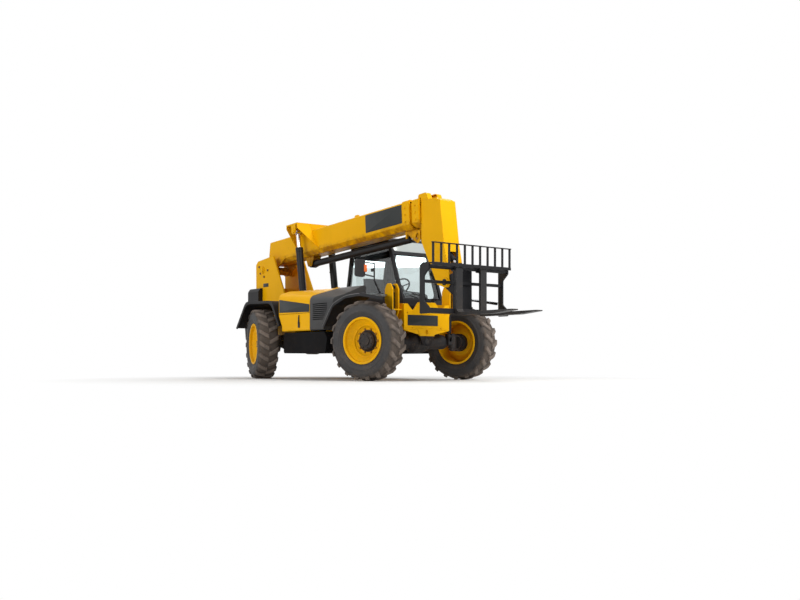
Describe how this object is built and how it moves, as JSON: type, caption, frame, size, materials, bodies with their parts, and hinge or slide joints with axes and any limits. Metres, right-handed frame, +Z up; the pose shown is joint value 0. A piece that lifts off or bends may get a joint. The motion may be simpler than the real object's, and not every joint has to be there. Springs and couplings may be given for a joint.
{
  "type": "telehandler",
  "caption": "Rough-terrain telehandler with telescopic boom, fork carriage, side cab, side engine pod and four-wheel steering.",
  "frame": {"origin": "on the ground, under the middle of the overall bounding box with the forks on and the boom in", "axes": "+X forward along the boom, +Y to the machine's left, +Z up"},
  "size_m": [7.535, 2.8036, 3.0262],
  "materials": {
    "yellow_paint": "satin",
    "black_paint": "satin",
    "dark_grey": "satin",
    "tyre_rubber": "matte",
    "glass": "clear",
    "chrome_rod": "polished",
    "seat_fabric": "matte",
    "plastic": "matte",
    "cast_iron": "rough"
  },
  "bodies": {
    "chassis": {"chassis_frame": "yellow_paint", "boom_tower": "yellow_paint", "counterweight": "black_paint", "axles": "cast_iron", "levelling_rams": "black_paint", "cab_frame": "black_paint", "cab_glass": "glass", "seat_base": "plastic", "seat_cushions": "seat_fabric", "dashboard": "plastic", "engine_housing": "yellow_paint", "engine_block": "cast_iron", "radiator_cowl": "dark_grey", "side_tanks": "black_paint", "mudguards": "black_paint", "mirrors": "plastic"},
    "boom": {"boom_outer": "yellow_paint", "extension_barrel": "black_paint"},
    "boom_middle": {"boom_mid": "yellow_paint", "extension_rod": "chrome_rod"},
    "boom_head": {"boom_inner": "yellow_paint"},
    "lift_ram_barrel_right": {"lift_barrel_right": "black_paint"},
    "lift_ram_rod_right": {"lift_rod_right": "chrome_rod"},
    "lift_ram_barrel_left": {"lift_barrel_left": "black_paint"},
    "lift_ram_rod_left": {"lift_rod_left": "chrome_rod"},
    "tilt_ram_barrel": {"tilt_barrel": "black_paint"},
    "tilt_ram_rod": {"tilt_rod": "chrome_rod"},
    "carriage": {"carriage_frame": "black_paint", "load_backrest": "black_paint", "forks": "black_paint"},
    "cab_door_leaf": {"cab_door": "black_paint", "door_glass": "glass"},
    "hood": {"engine_hood": "yellow_paint"},
    "knuckle_body_front_right": {"knuckle_front_right": "cast_iron"},
    "wheel_front_right": {"rim_front_right": "yellow_paint", "tyre_front_right": "tyre_rubber"},
    "knuckle_body_front_left": {"knuckle_front_left": "cast_iron"},
    "wheel_front_left": {"rim_front_left": "yellow_paint", "tyre_front_left": "tyre_rubber"},
    "knuckle_body_rear_right": {"knuckle_rear_right": "cast_iron"},
    "wheel_rear_right": {"rim_rear_right": "yellow_paint", "tyre_rear_right": "tyre_rubber"},
    "knuckle_body_rear_left": {"knuckle_rear_left": "cast_iron"},
    "wheel_rear_left": {"rim_rear_left": "yellow_paint", "tyre_rear_left": "tyre_rubber"}
  },
  "joints": [
    {"name": "steer_front_right", "type": "hinge", "parent": "chassis", "child": "knuckle_body_front_right", "pos_m": [1.2025, -0.78, 0.635], "axis": [0, 0, 1], "range_deg": [-52.5, 17.5]},
    {"name": "roll_front_right", "type": "hinge", "parent": "knuckle_body_front_right", "child": "wheel_front_right", "pos_m": [1.2867, -1.04704, 0.635], "axis": [-0.3007, 0.9537, 0], "continuous": true},
    {"name": "steer_front_left", "type": "hinge", "parent": "chassis", "child": "knuckle_body_front_left", "pos_m": [1.2025, 0.78, 0.635], "axis": [0, 0, 1], "range_deg": [-52.5, 17.5]},
    {"name": "roll_front_left", "type": "hinge", "parent": "knuckle_body_front_left", "child": "wheel_front_left", "pos_m": [1.1183, 1.04704, 0.635], "axis": [-0.3007, 0.9537, 0], "continuous": true},
    {"name": "steer_rear_right", "type": "hinge", "parent": "chassis", "child": "knuckle_body_rear_right", "pos_m": [-1.9475, -0.78, 0.635], "axis": [0, 0, -1], "range_deg": [-52.5, 17.5]},
    {"name": "roll_rear_right", "type": "hinge", "parent": "knuckle_body_rear_right", "child": "wheel_rear_right", "pos_m": [-2.0317, -1.04704, 0.635], "axis": [0.3007, 0.9537, 0], "continuous": true},
    {"name": "steer_rear_left", "type": "hinge", "parent": "chassis", "child": "knuckle_body_rear_left", "pos_m": [-1.9475, 0.78, 0.635], "axis": [0, 0, -1], "range_deg": [-52.5, 17.5]},
    {"name": "roll_rear_left", "type": "hinge", "parent": "knuckle_body_rear_left", "child": "wheel_rear_left", "pos_m": [-1.8633, 1.04704, 0.635], "axis": [0.3007, 0.9537, 0], "continuous": true},
    {"name": "boom_lift", "type": "hinge", "parent": "chassis", "child": "boom", "pos_m": [-3.2125, 0, 2.12], "axis": [0, -1, 0], "range_deg": [-9.8, 61]},
    {"name": "boom_extend", "type": "slide", "parent": "boom", "child": "boom_middle", "axis": [0.9982, 0, 0.0593], "range_m": [0, 2]},
    {"name": "boom_extend_head", "type": "slide", "parent": "boom_middle", "child": "boom_head", "axis": [0.9982, 0, 0.0593], "range_m": [0, 2]},
    {"name": "lift_barrel_swing_right", "type": "hinge", "parent": "chassis", "child": "lift_ram_barrel_right", "pos_m": [-1.5775, -0.36, 0.75], "axis": [0, -1, 0], "range_deg": [-4, 20]},
    {"name": "lift_rod_slide_right", "type": "slide", "parent": "lift_ram_barrel_right", "child": "lift_ram_rod_right", "axis": [-0.1556, 0, 0.9878], "range_m": [-0.21, 1.275]},
    {"name": "lift_barrel_swing_left", "type": "hinge", "parent": "chassis", "child": "lift_ram_barrel_left", "pos_m": [-1.5775, 0.36, 0.75], "axis": [0, -1, 0], "range_deg": [-4, 20]},
    {"name": "lift_rod_slide_left", "type": "slide", "parent": "lift_ram_barrel_left", "child": "lift_ram_rod_left", "axis": [-0.1556, 0, 0.9878], "range_m": [-0.21, 1.275]},
    {"name": "carriage_tilt", "type": "hinge", "parent": "boom_head", "child": "carriage", "pos_m": [2.1275, 0, 1.55], "axis": [0, 1, 0], "range_deg": [-12, 70]},
    {"name": "tilt_barrel_swing", "type": "hinge", "parent": "boom_head", "child": "tilt_ram_barrel", "pos_m": [1.7425, 0, 2.335], "axis": [0, 1, 0], "range_deg": [-8, 12]},
    {"name": "tilt_rod_slide", "type": "slide", "parent": "tilt_ram_barrel", "child": "tilt_ram_rod", "axis": [0.6716, 0, -0.7409], "range_m": [-0.07, 0.37]},
    {"name": "cab_door_hinge", "type": "hinge", "parent": "chassis", "child": "cab_door_leaf", "pos_m": [-0.9845, 1.2, 1.6], "axis": [0, 0, 1], "range_deg": [0, 80]},
    {"name": "hood_hinge", "type": "hinge", "parent": "chassis", "child": "hood", "pos_m": [-0.5725, -0.508, 1.59], "axis": [-1, 0, 0], "range_deg": [0, 65]}
  ],
  "couplings": [
    {"joint": "steer_front_left", "follows": "steer_front_right", "ratio": 1},
    {"joint": "steer_rear_left", "follows": "steer_rear_right", "ratio": 1},
    {"joint": "boom_extend_head", "follows": "boom_extend", "ratio": 1},
    {"joint": "lift_barrel_swing_right", "follows": "boom_lift", "ratio": 0.31192},
    {"joint": "lift_rod_slide_right", "follows": "boom_lift", "m_per_rad": 1.1833},
    {"joint": "lift_barrel_swing_left", "follows": "boom_lift", "ratio": 0.31192},
    {"joint": "lift_rod_slide_left", "follows": "boom_lift", "m_per_rad": 1.1833},
    {"joint": "tilt_barrel_swing", "follows": "carriage_tilt", "ratio": 0.01275},
    {"joint": "tilt_rod_slide", "follows": "carriage_tilt", "m_per_rad": 0.25379}
  ]
}
